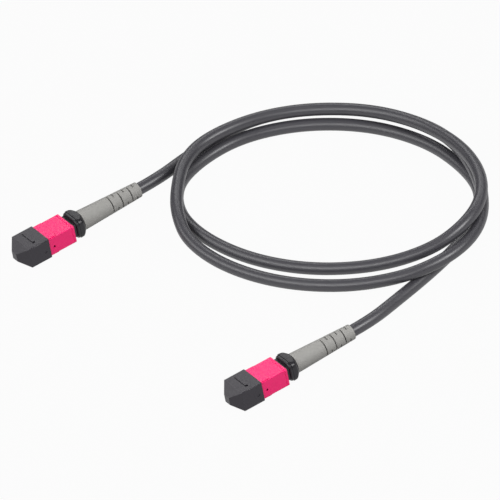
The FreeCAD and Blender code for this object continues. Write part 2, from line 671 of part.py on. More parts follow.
def make_strain_relief(plug):
    """The tapered boot over the crimp; its rows of slits are counted from the cable's end."""
    letter = plug.letter
    taper = doc.addObject("Part::Cone", f"relief_taper_{letter}")
    bind(taper, Radius1=RELIEF_FRONT_RADIUS, Radius2=RELIEF_REAR_RADIUS, Height="relief_length")
    socket = doc.addObject("Part::Cylinder", f"relief_socket_{letter}")
    bind(
        socket,
        Radius=f"{RING_DIAMETER} / 2 + relief_socket_gap",
        Height="barrel_length + cable_setback",
    )
    grip = doc.addObject("Part::Cylinder", f"relief_grip_{letter}")
    bind(grip, Radius="cable_diameter / 2 + relief_grip_gap", Height="relief_length")
    tools = [socket, grip]
    for row_index in range(round(number("slit_rows"))):
        long_row = row_index % 2 == 1
        angle = "long_slit_angle" if long_row else "short_slit_angle"
        centre = "slit_turn" if long_row else "slit_turn + 90"
        for half in (0, 180):
            slit = doc.addObject("Part::Cylinder", f"slit_{letter}_{row_index}_{half}")
            slit.Placement.Rotation.Axis = Vector(0, 0, 1)
            bind(
                slit,
                Radius=f"2 * {RELIEF_FRONT_RADIUS}",
                Height="slit_width",
                Angle=angle,
                Placement__Base__z=f"relief_length - slit_margin - {row_index} * slit_pitch - slit_width / 2",
                Placement__Rotation__Angle=f"-({centre}) + {half} - {angle} / 2",
            )
            tools.append(slit)
    cutters = doc.addObject("Part::MultiFuse", f"relief_cutters_{letter}")
    cutters.Shapes = tools
    boot = doc.addObject("Part::Cut", f"strain_relief_{letter}")
    boot.Base = taper
    boot.Tool = cutters
    boot.Placement.Rotation = Rotation(Vector(1, 0, 0), -90)
    plug.put(boot)
    bind(boot, Placement__Base__y=f"{REST_Y} + {plug.stagger} * plug_stagger + {COLLAR_REAR}")


def make_fibre_ribbon(plug):
    """The ribbon of fibres from the ferrule to the cable's end."""
    body = plug.body("fibre_ribbon")
    length = f"{CABLE_START} - {FERRULE_BOOT_START}"
    add_block(body, "ribbon", "ribbon_width", "ribbon_height", FERRULE_BOOT_START, length)


def cable_path(points, held_a, held_b):
    """Straight runs joined by arcs as large as the runs allow, between the two held ends."""
    edges = []
    radii = []
    last = held_a
    for before, corner, after in zip(points, points[1:], points[2:]):
        back, ahead = before - corner, after - corner
        reach = ARC_SHARE * min(back.Length, ahead.Length)
        turn = math.pi - back.getAngle(ahead)
        radius = reach / math.tan(turn / 2)
        back.normalize()
        ahead.normalize()
        inward = back + ahead
        inward.normalize()
        start, end = corner + back * reach, corner + ahead * reach
        middle = corner + inward * (math.hypot(reach, radius) - radius)
        edges += [Part.LineSegment(last, start).toShape(), Part.Arc(start, middle, end).toShape()]
        radii.append(radius)
        last = end
    edges.append(Part.LineSegment(last, held_b).toShape())
    return Part.Wire(edges), radii


def make_cable():
    """The cable: one round tube from plug to plug."""
    points = [Vector(*point) for point in ROUTE]
    start = number(f"{REST_Y} + {CABLE_START}")
    half_pitch = number("plug_pitch / 2")
    held_a = Vector(-half_pitch, start, AXIS)
    held_b = Vector(half_pitch, start + number("plug_stagger"), AXIS)
    path, radii = cable_path(points, held_a, held_b)
    section = Part.Wire(Part.Circle(held_a, Vector(0, 1, 0), LOW).toShape())
    cable = doc.addObject("Part::Feature", "cable")
    cable.Shape = Part.Solid(path.makePipeShell([section], True, False))
    cable.Label = "cable"
    sub_parts.append(cable)
    print(f"cable: {path.Length:.1f} mm, smallest bend radius {min(radii):.1f} mm")
    print("bend radii:", " ".join(f"{value:.0f}" for value in radii))
    section_times_length = math.pi * LOW**2 * path.Length
    print(f"cable volume {cable.Shape.Volume:.1f}, section times length {section_times_length:.1f}")


for plug in (Plug("a", -1, 0), Plug("b", 1, 1)):
    make_dust_cap(plug)
    make_coupling_sleeve(plug)
    make_plug_frame(plug)
    make_ferrule(plug)
    make_ferrule_boot(plug)
    make_pin_spacer(plug)
    make_springs(plug)
    make_back_post(plug)
    make_crimp_ring(plug)
    make_strain_relief(plug)
    make_fibre_ribbon(plug)
make_cable()
doc.recompute()

for item in doc.Objects:
    if "Invalid" in item.State or "Error" in item.State:
        raise RuntimeError(f"{item.Name} failed: {item.State}")
for piece in sub_parts:
    if piece.Shape.isNull() or not piece.Shape.isValid():
        raise RuntimeError(f"{piece.Label} has no valid shape")

os.makedirs("parts", exist_ok=True)
for piece in sub_parts:
    piece.Shape.exportStep(f"parts/{piece.Label}.step")
    print(f"{piece.Label}: {len(piece.Shape.Solids)} solid(s), {piece.Shape.Volume:.2f} mm3")
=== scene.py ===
# %% [markdown]
# Multi-fibre patch cable
# This lesson dresses a fibre patch cable: a round black cable in loose oval loops, with a plug under
# a dust cap on each end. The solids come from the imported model, in metres, and stay where they are.
# Blender adds the cable's smooth line, the back of each collar, finer boots, springs and ribbons, the
# polished fibre ends and the finish of every surface.

# %% Load the model
import math

import bmesh
import bpy
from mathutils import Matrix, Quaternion, Vector


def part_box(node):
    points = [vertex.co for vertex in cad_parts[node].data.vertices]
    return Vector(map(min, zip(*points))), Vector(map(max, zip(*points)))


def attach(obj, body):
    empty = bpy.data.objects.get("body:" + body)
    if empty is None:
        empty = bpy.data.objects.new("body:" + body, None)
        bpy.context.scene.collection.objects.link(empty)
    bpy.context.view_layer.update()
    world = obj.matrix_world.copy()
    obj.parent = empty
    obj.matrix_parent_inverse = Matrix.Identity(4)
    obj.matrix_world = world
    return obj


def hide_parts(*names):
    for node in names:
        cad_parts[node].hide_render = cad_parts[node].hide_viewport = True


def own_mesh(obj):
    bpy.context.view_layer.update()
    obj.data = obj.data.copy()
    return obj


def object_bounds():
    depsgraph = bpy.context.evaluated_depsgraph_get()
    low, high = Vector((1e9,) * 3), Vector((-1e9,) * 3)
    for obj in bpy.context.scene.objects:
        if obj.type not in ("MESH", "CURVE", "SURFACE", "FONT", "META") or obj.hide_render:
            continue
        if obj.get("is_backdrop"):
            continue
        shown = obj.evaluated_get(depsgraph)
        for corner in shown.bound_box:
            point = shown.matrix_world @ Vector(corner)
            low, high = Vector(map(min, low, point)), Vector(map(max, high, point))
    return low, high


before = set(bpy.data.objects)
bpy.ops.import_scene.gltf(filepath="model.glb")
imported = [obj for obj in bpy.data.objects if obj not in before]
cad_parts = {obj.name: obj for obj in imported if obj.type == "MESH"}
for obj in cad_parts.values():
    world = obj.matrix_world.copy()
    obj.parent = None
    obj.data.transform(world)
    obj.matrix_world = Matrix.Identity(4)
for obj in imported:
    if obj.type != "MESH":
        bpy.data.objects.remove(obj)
CAD_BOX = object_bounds()
MM = 0.001
ENDS = ("a", "b")
scene = bpy.context.scene
scene.view_settings.view_transform = "Standard"

# %% [markdown]
# The camera
# The picture has no vanishing points: both plugs show at the same size. A camera with a very long lens,
# far away, gives nearly that, and a much longer one would put the cameras of other views out of reach.
# It looks down on the cable from the right of the plugs and leans a little, so the angles are azimuth,
# elevation and roll, and its distance follows from the lens and the view.

# %% Camera
VIEW_AZIMUTH = math.radians(63.14)
VIEW_ELEVATION = math.radians(36.3)
VIEW_ROLL = math.radians(-11.87)
VIEW_CENTRE = Vector((-9.9, 40.75, 0)) * MM
VIEW_WIDTH = 211.9 * MM
LENS_MM = 1500
SIGHT_LIMIT = 100

towards_viewer = Vector((
    math.sin(VIEW_AZIMUTH) * math.cos(VIEW_ELEVATION),
    -math.cos(VIEW_AZIMUTH) * math.cos(VIEW_ELEVATION),
    math.sin(VIEW_ELEVATION),
))
camera = bpy.data.objects.new("camera", bpy.data.cameras.new("camera"))
scene.collection.objects.link(camera)
camera.data.lens = LENS_MM
camera.data.clip_end = SIGHT_LIMIT
distance = VIEW_WIDTH * LENS_MM / camera.data.sensor_width
camera.location = VIEW_CENTRE + towards_viewer * distance
camera.rotation_mode = "QUATERNION"
camera.rotation_quaternion = (-towards_viewer).to_track_quat("-Z", "Y") @ Quaternion((0, 0, 1), VIEW_ROLL)
scene.camera = camera
print(f"camera {distance:.2f} m away, view {VIEW_WIDTH / MM:.1f} mm wide")

# %% [markdown]
# The cable
# A cable is a fixed length of something springy, so its line has no corners. The route's points are
# the control points of one NURBS curve, which passes smoothly inside them. The points are those
# of the solid model, in millimetres: from the crimp of plug a, which holds it, out through the boot, round
# the loops, and into plug b. The curve's own bevel gives the round jacket, so the route stays easy to change.

# %% Cable route
CABLE_DIAMETER = 5.5
LOW = CABLE_DIAMETER / 2
AXIS = 4.8
HELD_A = [(-75.5, 5.45, AXIS)]
LEAD_A = [(-75.5, 15.5, AXIS), (-75.5, 38, AXIS), (-80.5, 56.5, 3.6)]
FIRST_LOOP = [
    (-83, 73, LOW), (-83.2, 92, LOW), (-72.4, 112, LOW), (-52.2, 130.5, LOW), (-26, 140.3, 4.5),
    (1.5, 141.5, 7.7), (32, 133.5, 9), (54, 120.5, 9), (65, 106, 9), (68.5, 88.5, 9), (64.5, 69.5, 8.6),
    (47, 51, 5), (22, 35, LOW), (-4.5, 25, LOW), (-28.3, 22.1, 5), (-44.7, 27.7, 8.5), (-59.2, 37.7, 9.2),
    (-72.5, 50.4, 9.5),
]
SECOND_LOOP = [
    (-78.2, 65.7, 9.5), (-75.8, 88.2, 9), (-65.8, 108.7, 8), (-45, 127.1, 8.5), (-17.9, 136.8, 10.5),
    (12.5, 137.5, 14), (36.5, 132, 15.5), (53, 121.5, 15.5), (61, 107, 14.5), (61.5, 89.5, 11.5),
    (50, 69.5, 7.5), (28, 50.5, 4), (3, 36.5, 3.2), (-24, 30, LOW), (-48.8, 30.8, LOW), (-68.2, 41.8, LOW),
]
THIRD_ARC = [
    (-75.8, 61, LOW), (-75.8, 82.7, LOW), (-63.8, 105.8, LOW), (-41.7, 125.2, LOW), (-14, 136, LOW),
    (12, 137, LOW), (33.5, 132.5, LOW), (49.5, 118.5, LOW),
]
LEAD_B = [(58.5, 100.5, LOW), (64.5, 82, LOW), (69.5, 64, 3.2), (75.3, 46.5, AXIS), (75.5, 24, AXIS)]
HELD_B = [(75.5, 14.15, AXIS)]
LOOPS = FIRST_LOOP + SECOND_LOOP + THIRD_ARC
ROUTE = [Vector(point) * MM for point in HELD_A + LEAD_A + LOOPS + LEAD_B + HELD_B]
print("cable points:", len(ROUTE))

# %% Cable
STEPS_PER_SPAN = 10
JACKET_STEPS = 7


def put(piece, body, slot, *nodes):
    """Links a piece, lets it ride on a body and stand for the solids that it replaces."""
    scene.collection.objects.link(piece)
    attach(piece, body)
    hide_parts(*nodes)
    return piece


cable_line = bpy.data.curves.new("cable_jacket", "CURVE")
cable_line.dimensions = "3D"
spline = cable_line.splines.new("NURBS")
spline.points.add(len(ROUTE) - 1)
for control, point in zip(spline.points, ROUTE):
    control.co = (*point, 1)
    control.radius = CABLE_DIAMETER / 2 * MM
spline.order_u = 3
spline.use_endpoint_u = True
spline.resolution_u = STEPS_PER_SPAN
# The points' own radius gives the thickness, so the bevel is one unit deep.
cable_line.bevel_depth = 1
cable_line.bevel_resolution = JACKET_STEPS
cable_line.use_fill_caps = True
cable = put(bpy.data.objects.new("cable_jacket", cable_line), "cable_assembly", "jacket", "cable")

# %% [markdown]
# The slit boots
# The grey boot is moulded in soft rubber over the crimp. Near the cable it has rows of slits, each
# turned against the next, so that it bends in every direction and still holds together. The boot is
# a round wall with an inside and an outside. The wall is built cell by cell, the cells of a slit are left
# out, and every open edge gets a face across the thickness of the wall. A boolean cut would do it too, but
# it leaves long thin faces that shade badly.

# %% Boot shape
# Lengths are in millimetres, turns in degrees.
BOOT_REAR_RADIUS = 3.45
BOOT_SOCKET_RADIUS = 3.4
BOOT_SOCKET_DEPTH = 9.0
BOOT_GRIP_RADIUS = 2.85
SLIT_ROWS = 6
SLIT_PITCH = 2.5
SLIT_WIDTH = 0.5
SLIT_MARGIN = 2.5
SLIT_TURN = 32
LONG_SLIT = 144
SHORT_SLIT = 104
DEGREES_PER_CELL = 2
CELLS_ROUND = 360 // DEGREES_PER_CELL


def in_slit(row, degrees):
    """Whether a cell lies in a slit of that row; each row has two slits, opposite each other."""
    long_row = row % 2 == 1
    centre = SLIT_TURN if long_row else SLIT_TURN + 90
    half = (LONG_SLIT if long_row else SHORT_SLIT) / 2
    away = (degrees - centre + 90) % 180 - 90
    return abs(away) < half


def boot_rings(length, front_radius):
    """Places along the boot as pairs of distance and slit row; the row is None where the wall is whole."""
    rings = [(0, None), (BOOT_SOCKET_DEPTH, None)]
    for row in reversed(range(SLIT_ROWS)):
        centre = length - SLIT_MARGIN - row * SLIT_PITCH
        rings += [(centre - SLIT_WIDTH / 2, row), (centre + SLIT_WIDTH / 2, None)]
    rings.append((length, None))
    slope = (BOOT_REAR_RADIUS - front_radius) / length
    return [(y, front_radius + slope * y, row) for y, row in rings]


print(f"slits: {SLIT_ROWS} rows, {SLIT_PITCH} mm apart")

# %% Mesh helpers
SHARP_ANGLE = math.radians(40)
# In millimetres: the solids' faces come apart, and points this close are one.
WELD_DISTANCE = 0.0005
EDGE_STEPS = 2


def mesh_object(name, mesh):
    """Turns a bmesh into an object, smooth except at its real edges."""
    data = bpy.data.meshes.new(name)
    mesh.to_mesh(data)
    mesh.free()
    return smoothed(bpy.data.objects.new(name, data))


def smoothed(piece):
    """Shades a piece smooth, with a crease where its faces turn sharply."""
    piece.data.polygons.foreach_set("use_smooth", [True] * len(piece.data.polygons))
    piece.data.set_sharp_from_angle(angle=SHARP_ANGLE)
    return piece


def soften_edges(piece, width):
    """Rounds the sharp edges by a width in millimetres, as a mould does, without touching the mesh."""
    weld = piece.modifiers.new("weld", "WELD")
    weld.merge_threshold = WELD_DISTANCE * MM
    bevel = piece.modifiers.new("edges", "BEVEL")
    bevel.width = width * MM
    bevel.segments = EDGE_STEPS
    bevel.limit_method = "ANGLE"
    bevel.angle_limit = SHARP_ANGLE
    bevel.harden_normals = True


# %% Boot wall
def wall_ring(mesh, centre, y, radius):
    """A ring of points across the boot's axis."""
    steps = [math.radians(DEGREES_PER_CELL * i) for i in range(CELLS_ROUND)]
    return [
        mesh.verts.new(centre + Vector((radius * math.cos(a), y, radius * math.sin(a))) * MM) for a in steps
    ]


def slit_boot(name, node):
    """A tapered boot with a socket for the crimp, a bore for the cable and rows of open slits."""
    low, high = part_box(node)
    centre = Vector(((low.x + high.x) / 2, low.y, (low.z + high.z) / 2))
    rings = boot_rings((high.y - low.y) / MM, (high.x - low.x) / 2 / MM)
    mesh = bmesh.new()
    outside = [wall_ring(mesh, centre, y, radius) for y, radius, row in rings]
    inside = [
        wall_ring(mesh, centre, y, BOOT_SOCKET_RADIUS if y < BOOT_SOCKET_DEPTH else BOOT_GRIP_RADIUS)
        for y, radius, row in rings
    ]
    step = wall_ring(mesh, centre, BOOT_SOCKET_DEPTH, BOOT_SOCKET_RADIUS)
    for j, (y, radius, row) in enumerate(rings[:-1]):
        near = inside[j]
        far = step if j == 0 else inside[j + 1]
        for i in range(CELLS_ROUND):
            k = (i + 1) % CELLS_ROUND
            here = DEGREES_PER_CELL * (i + 0.5)
            if row is None or not in_slit(row, here):
                mesh.faces.new((outside[j][i], outside[j][k], outside[j + 1][k], outside[j + 1][i]))
                mesh.faces.new((far[i], far[k], near[k], near[i]))
                continue
            mesh.faces.new((outside[j][i], outside[j][k], inside[j][k], inside[j][i]))
            mesh.faces.new((inside[j + 1][i], inside[j + 1][k], outside[j + 1][k], outside[j + 1][i]))
            for edge, beside in ((i, -1), (k, 1)):
                if not in_slit(row, here + DEGREES_PER_CELL * beside):
                    cheek = (outside[j][edge], inside[j][edge], inside[j + 1][edge], outside[j + 1][edge])
                    mesh.faces.new(cheek)
    for outer, inner in ((inside[0], outside[0]), (outside[-1], inside[-1]), (step, inside[1])):
        for i in range(CELLS_ROUND):
            k = (i + 1) % CELLS_ROUND
            mesh.faces.new((outer[i], outer[k], inner[k], inner[i]))
    bmesh.ops.recalc_face_normals(mesh, faces=mesh.faces)
    return mesh_object(name, mesh)


# %% Boots
BOOT_EDGE = 0.08
boots = {}
for end in ENDS:
    boot = slit_boot(f"slit_boot_{end}", f"strain_relief_{end}")
    boots[end] = put(boot, "cable_assembly", "boot_rubber", f"strain_relief_{end}")
    soften_edges(boot, BOOT_EDGE)
    print(boot.name, "faces:", len(boot.data.polygons))

# %% [markdown]
# The collar's shoulder
# The black rear body shows behind the sleeve as a collar, and its solid is plain. On the real plug a low
# step runs round it, and its back closes on the boot as a bulging cone does, so that every flat side ends
# in an arc, as on a nut. The shoulder lies over the solid. It is made of rings along the plug: each is
# a rounded rectangle, drawn in to the cone's radius where that is smaller, with a soft blend between.
# A low rib crosses its top, just behind the step.

# %% Collar outline
SHOULDER_HALF_SIZE = Vector((5.97, 4.67))
SHOULDER_CORNER = 2.1
CORNER_STEPS = 10
SIDE_STEPS = 16


def shoulder_outline():
    """Points round the shoulder's rounded rectangle, in millimetres."""
    corners = []
    for quarter, signs in enumerate(((1, 1), (-1, 1), (-1, -1), (1, -1))):
        middle = [sign * (half - SHOULDER_CORNER) for sign, half in zip(signs, SHOULDER_HALF_SIZE)]
        for step in range(CORNER_STEPS + 1):
            angle = math.radians(90 * (quarter + step / CORNER_STEPS))
            corners.append(Vector(middle) + SHOULDER_CORNER * Vector((math.cos(angle), math.sin(angle))))
    outline = []
    for i, point in enumerate(corners):
        ahead = corners[(i + 1) % len(corners)]
        steps = SIDE_STEPS if i % (CORNER_STEPS + 1) == CORNER_STEPS else 1
        outline += [point.lerp(ahead, step / steps) for step in range(steps)]
    return outline


print("points round the collar:", len(shoulder_outline()))

# %% Collar shoulder
# Places along the plug are in millimetres from the boot's front.
SHOULDER_START = -2.4
SHOULDER_END = 1.1
SHOULDER_RINGS = 24
CONE_FRONT_RADIUS = 7.4
CONE_BULGE = 1.8
CONE_BLEND = 5
SEAT_IN_BOOT = 0.1
RIB_HEIGHT = 0.2
RIB_WIDTH = 0.55
RIB_BACK = 0.12
RIB_FADE = 0.5


def collar_shoulder(name, boot_node):
    """The sloping back of the collar, from its step to where it meets the boot."""
    low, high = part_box(boot_node)
    centre = Vector(((low.x + high.x) / 2, low.y, (low.z + high.z) / 2))
    seat = (high.x - low.x) / 2 / MM - SEAT_IN_BOOT
    outline = shoulder_outline()
    rib_end = SHOULDER_START + RIB_WIDTH
    back = rib_end + RIB_BACK
    places = [(SHOULDER_START, RIB_HEIGHT), (rib_end, RIB_HEIGHT)]
    places += [(back + (SHOULDER_END - back) * j / SHOULDER_RINGS, 0) for j in range(SHOULDER_RINGS + 1)]
    mesh = bmesh.new()
    rings = []
    for y, rib in places:
        share = (y - SHOULDER_START) / (SHOULDER_END - SHOULDER_START)
        cone = CONE_FRONT_RADIUS + (seat - CONE_FRONT_RADIUS) * share ** CONE_BULGE
        ring = []
        for point in outline:
            flat_and_cone = math.exp(-CONE_BLEND * point.length) + math.exp(-CONE_BLEND * cone)
            x, z = point.normalized() * -math.log(flat_and_cone) / CONE_BLEND
            near_top = (z - SHOULDER_HALF_SIZE.y) / RIB_FADE + 1
            z += rib * min(max(near_top, 0), 1)
            ring.append(mesh.verts.new(centre + Vector((x, y, z)) * MM))
        rings.append(ring)
    for near, far in zip(rings, rings[1:]):
        for i in range(len(outline)):
            k = (i + 1) % len(outline)
            mesh.faces.new((near[i], near[k], far[k], far[i]))
    mesh.faces.new(rings[0])
    mesh.faces.new(rings[-1])
    bmesh.ops.recalc_face_normals(mesh, faces=mesh.faces)
    return mesh_object(name, mesh)


# %% Collars
STEP_EDGE = 0.06
shoulders = {}
for end in ENDS:
    shoulder = collar_shoulder(f"collar_shoulder_{end}", f"strain_relief_{end}")
    shoulders[end] = put(shoulder, "cable_assembly", "frame_plastic")
    soften_edges(shoulder, STEP_EDGE)
    print(shoulder.name, "faces:", len(shoulder.data.polygons))

# %% [markdown]
# Springs
# Two kinds of coil spring hide in each plug: a wide one that pushes the ferrule forward, and a small
# pair that pushes the sleeve forward. Real compression springs are wound from round wire with a closed
# turn at each end, so the helix rises slowly there and faster between. Each coil is made as a curve
# and turned to a mesh.

# %% Spring shape
STEPS_PER_TURN = 24
WIRE_STEPS = 4
# A closed turn rises by a little more than the wire is thick.
CLOSED_TURN = 1.04


def coil_points(centre, radius, wire, turns, start, end):
    """A helix along y with one closed turn at each end."""
    closed = wire * CLOSED_TURN
    first, last = start + wire / 2, end - wire / 2
    rise = (last - first - 2 * closed) / (turns - 2)
    points = []
    for step in range(round(turns * STEPS_PER_TURN) + 1):
        turn = step / STEPS_PER_TURN
        height = first + closed * min(turn, 1) + rise * min(max(turn - 1, 0), turns - 2)
        height += closed * max(turn - turns + 1, 0)
        angle = math.tau * turn
        points.append(centre + Vector((radius * math.cos(angle), height, radius * math.sin(angle))))
    return points


def wire_mesh(name, paths, wire):
    """Round wire along one or more paths, as one mesh."""
    line = bpy.data.curves.new(name, "CURVE")
    line.dimensions = "3D"
    line.bevel_depth = wire / 2
    line.bevel_resolution = WIRE_STEPS
    line.use_fill_caps = True
    for path in paths:
        coil = line.splines.new("POLY")
        coil.points.add(len(path) - 1)
        for control, point in zip(coil.points, path):
            control.co = (*point, 1)
    former = bpy.data.objects.new(name + "_former", line)
    data = bpy.data.meshes.new_from_object(former)
    bpy.data.objects.remove(former)
    bpy.data.curves.remove(line)
    return smoothed(bpy.data.objects.new(name, data))


# %% Springs
FERRULE_WIRE = 0.5 * MM
FERRULE_TURNS = 6
SIDE_WIRE = 0.28 * MM
SIDE_TURNS = 4.5
SIDE_COIL = 1.5 * MM
springs = []
for end in ENDS:
    low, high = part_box(f"ferrule_spring_{end}")
    axis = Vector(((low.x + high.x) / 2, 0, (low.z + high.z) / 2))
    radius = (high.z - low.z - FERRULE_WIRE) / 2
    path = coil_points(axis, radius, FERRULE_WIRE, FERRULE_TURNS, low.y, high.y)
    spring = wire_mesh(f"ferrule_coil_{end}", [path], FERRULE_WIRE)
    springs.append(put(spring, "cable_assembly", "spring_steel", f"ferrule_spring_{end}"))
    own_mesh(spring)

    low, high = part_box(f"coupling_springs_{end}")
    radius = (SIDE_COIL - SIDE_WIRE) / 2
    paths = []
    for x in (low.x + SIDE_COIL / 2, high.x - SIDE_COIL / 2):
        middle = Vector((x, 0, (low.z + high.z) / 2))
        paths.append(coil_points(middle, radius, SIDE_WIRE, SIDE_TURNS, low.y, high.y))
    pair = wire_mesh(f"coupling_coils_{end}", paths, SIDE_WIRE)
    springs.append(put(pair, "cable_assembly", "spring_steel", f"coupling_springs_{end}"))
    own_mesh(pair)
print("springs:", ", ".join(piece.name for piece in springs))

# %% [markdown]
# Ribbon and fibre ends
# Twelve fibres lie side by side in a flat ribbon, so its section is a row of twelve small rounds.
# At the front of the ferrule the fibres end in polished dots, a quarter of a millimetre apart. They only
# show with the cap off, and they are what the whole plug is for.

# %% Ribbon shape
FIBRES = 12
POINTS_PER_FIBRE = 6
RIBBON_VALLEY = 0.6


def ribbon_mesh(name, low, high):
    """A flat ribbon with a rounded ridge over each fibre."""
    mesh = bmesh.new()
    middle = (low.z + high.z) / 2
    half = (high.z - low.z) / 2
    count = FIBRES * POINTS_PER_FIBRE
    top = []
    for i in range(count + 1):
        ridge = abs(math.sin(math.pi * i / POINTS_PER_FIBRE))
        height = half * (RIBBON_VALLEY + (1 - RIBBON_VALLEY) * ridge)
        top.append((low.x + (high.x - low.x) * i / count, height))
    outline = [(x, middle + h) for x, h in top] + [(x, middle - h) for x, h in reversed(top)]
    front = [mesh.verts.new((x, low.y, z)) for x, z in outline]
    rear = [mesh.verts.new((x, high.y, z)) for x, z in outline]
    for i in range(len(outline)):
        k = (i + 1) % len(outline)
        mesh.faces.new((front[i], front[k], rear[k], rear[i]))
    mesh.faces.new(front)
    mesh.faces.new(rear)
    bmesh.ops.recalc_face_normals(mesh, faces=mesh.faces)
    return mesh_object(name, mesh)


# %% Fibre ends
FIBRE_PITCH = 0.25 * MM
FIBRE_DIAMETER = 0.125 * MM
FIBRE_STANDS_OUT = 0.01 * MM
RIM_POINTS = 16


def fibre_dots(name, low, high):
    """A row of domed dots on the ferrule's front face."""
    mesh = bmesh.new()
    middle = Vector(((low.x + high.x) / 2, low.y, (low.z + high.z) / 2))
    for i in range(FIBRES):
        centre = middle + Vector(((i - (FIBRES - 1) / 2) * FIBRE_PITCH, 0, 0))
        rim = []
        for step in range(RIM_POINTS):
            angle = math.tau * step / RIM_POINTS
            spoke = Vector((math.cos(angle), 0, math.sin(angle))) * FIBRE_DIAMETER / 2
            rim.append(mesh.verts.new(centre + spoke))
        tip = mesh.verts.new(centre - Vector((0, FIBRE_STANDS_OUT, 0)))
        for step in range(RIM_POINTS):
            mesh.faces.new((rim[step], rim[(step + 1) % RIM_POINTS], tip))
        mesh.faces.new(rim)
    bmesh.ops.recalc_face_normals(mesh, faces=mesh.faces)
    return mesh_object(name, mesh)


# %% Ribbons and fibre ends
ribbons = []
fibre_ends = []
for end in ENDS:
    low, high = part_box(f"fibre_ribbon_{end}")
    ribbon = ribbon_mesh(f"ribbon_{end}", low, high)
    ribbons.append(put(ribbon, "cable_assembly", "ribbon_coating", f"fibre_ribbon_{end}"))
    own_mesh(ribbon)
    dots = fibre_dots(f"fibre_ends_{end}", *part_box(f"ferrule_{end}"))
    fibre_ends.append(put(dots, f"ferrule_set_{end}", "ribbon_coating"))
print("ribbons:", len(ribbons), "rows of fibre ends:", len(fibre_ends))

# %% [markdown]
# Finishes
# Nearly every piece here is a moulded or extruded plastic, seen under soft light. Each has one colour with
# a faint cloudiness, a gloss that varies a little, and the fine grain that the tool's surface leaves. The
# real grain is a few hundredths of a millimetre wide, too fine for the picture, so it is drawn as coarse as
# it needs to show. One function turns a hex colour to linear light and one adds a node, so each finish reads
# as a list.

# %% Material helpers
UNEVEN_GLOSS = 0.06
CLOUD_TO_GRAIN = 8
CLOUD_DETAIL = 3.0
GRAIN_DETAIL = 2.0


def linear(hex_colour):
    """An sRGB hex colour as linear red, green, blue and alpha."""
    channels = [int(hex_colour[i:i + 2], 16) / 255 for i in (1, 3, 5)]
    return [c / 12.92 if c <= 0.04045 else ((c + 0.055) / 1.055) ** 2.4 for c in channels] + [1.0]


def add_node(material, kind, inputs, **settings):
    """Adds a node with its settings; an input takes a value, or a link from another node's output."""
    node = material.node_tree.nodes.new(kind)
    for name, value in settings.items():
        setattr(node, name, value)
    for name, value in inputs.items():
        if isinstance(value, bpy.types.NodeSocket):
            material.node_tree.links.new(value, node.inputs[name])
        else:
            node.inputs[name].default_value = value
    return node


def new_finish(name, **values):
    """A material whose shader sockets take the values given; an underscore stands for a space."""
    material = bpy.data.materials.new(name)
    material.use_nodes = True
    shader = material.node_tree.nodes["Principled BSDF"]
    for socket, value in values.items():
        shader.inputs[socket.replace("_", " ")].default_value = value
    return material, shader


def moulded(name, colour, roughness, ior, grain_mm, grain_depth_mm, mottle):
    """A plastic of one colour: cloudy by a share, with uneven gloss and a fine grain from the mould."""
    material, shader = new_finish(name, IOR=ior)
    links = material.node_tree.links
    where = add_node(material, "ShaderNodeTexCoord", {}).outputs["Object"]
    cloud = add_node(
        material, "ShaderNodeTexNoise",
        {"Vector": where, "Scale": 1 / (CLOUD_TO_GRAIN * grain_mm * MM), "Detail": CLOUD_DETAIL},
    ).outputs["Fac"]
    shade = add_node(
        material, "ShaderNodeMapRange", {"Value": cloud, "To Min": 1 - mottle, "To Max": 1 + mottle}
    ).outputs["Result"]
    tint = add_node(
        material, "ShaderNodeVectorMath", {0: linear(colour)[:3], "Scale": shade}, operation="SCALE"
    )
    gloss = add_node(
        material, "ShaderNodeMapRange",
        {"Value": cloud, "To Min": roughness - UNEVEN_GLOSS, "To Max": roughness + UNEVEN_GLOSS},
    )
    grain = add_node(
        material, "ShaderNodeTexNoise",
        {"Vector": where, "Scale": 1 / (grain_mm * MM), "Detail": GRAIN_DETAIL},
    ).outputs["Fac"]
    bump = add_node(material, "ShaderNodeBump", {"Height": grain, "Distance": grain_depth_mm * MM})
    links.new(tint.outputs["Vector"], shader.inputs["Base Color"])
    links.new(gloss.outputs["Result"], shader.inputs["Roughness"])
    links.new(bump.outputs["Normal"], shader.inputs["Normal"])
    return material


def finish(piece, material):
    """Gives a piece one material all over."""
    piece.data.materials.clear()
    piece.data.materials.append(material)


# %% Plastics and rubbers
# Halogen-free sheath, extruded: satin and faintly cloudy, with a soft highlight along it.
sheath = moulded(
    "lszh_sheath_black", "#3B3A3F",
    roughness=0.40, ior=1.6, grain_mm=0.5, grain_depth_mm=0.003, mottle=0.06,
)
# Polypropylene, moulded: waxy and a little cloudy, spark-eroded mould, so the gloss is broken.
cap_plastic = moulded(
    "polypropylene_black", "#29262D",
    roughness=0.36, ior=1.42, grain_mm=0.2, grain_depth_mm=0.0015, mottle=0.10,
)
# Polyester moulded from a polished tool: strong even colour and a clear soft gloss.
sleeve_plastic = moulded(
    "pbt_magenta", "#EC1A6C",
    roughness=0.42, ior=1.48, grain_mm=0.25, grain_depth_mm=0.0012, mottle=0.05,
)
# Polyetherimide, moulded: hard, dense black with a finer grain than the cap.
frame_plastic = moulded(
    "polyetherimide_black", "#1C1B20",
    roughness=0.36, ior=1.42, grain_mm=0.15, grain_depth_mm=0.0015, mottle=0.10,
)
# Thermoplastic rubber, moulded: dull, with a soft cloudy surface.
boot_rubber = moulded(
    "tpe_grey", "#92918E",
    roughness=0.6, ior=1.35, grain_mm=0.3, grain_depth_mm=0.005, mottle=0.07,
)
# Glass-filled PPS, moulded and ground: nearly black, with pale specks of the filling.
ferrule_resin = moulded(
    "filled_pps_black", "#2C2C2E",
    roughness=0.35, ior=1.6, grain_mm=0.08, grain_depth_mm=0.003, mottle=0.35,
)
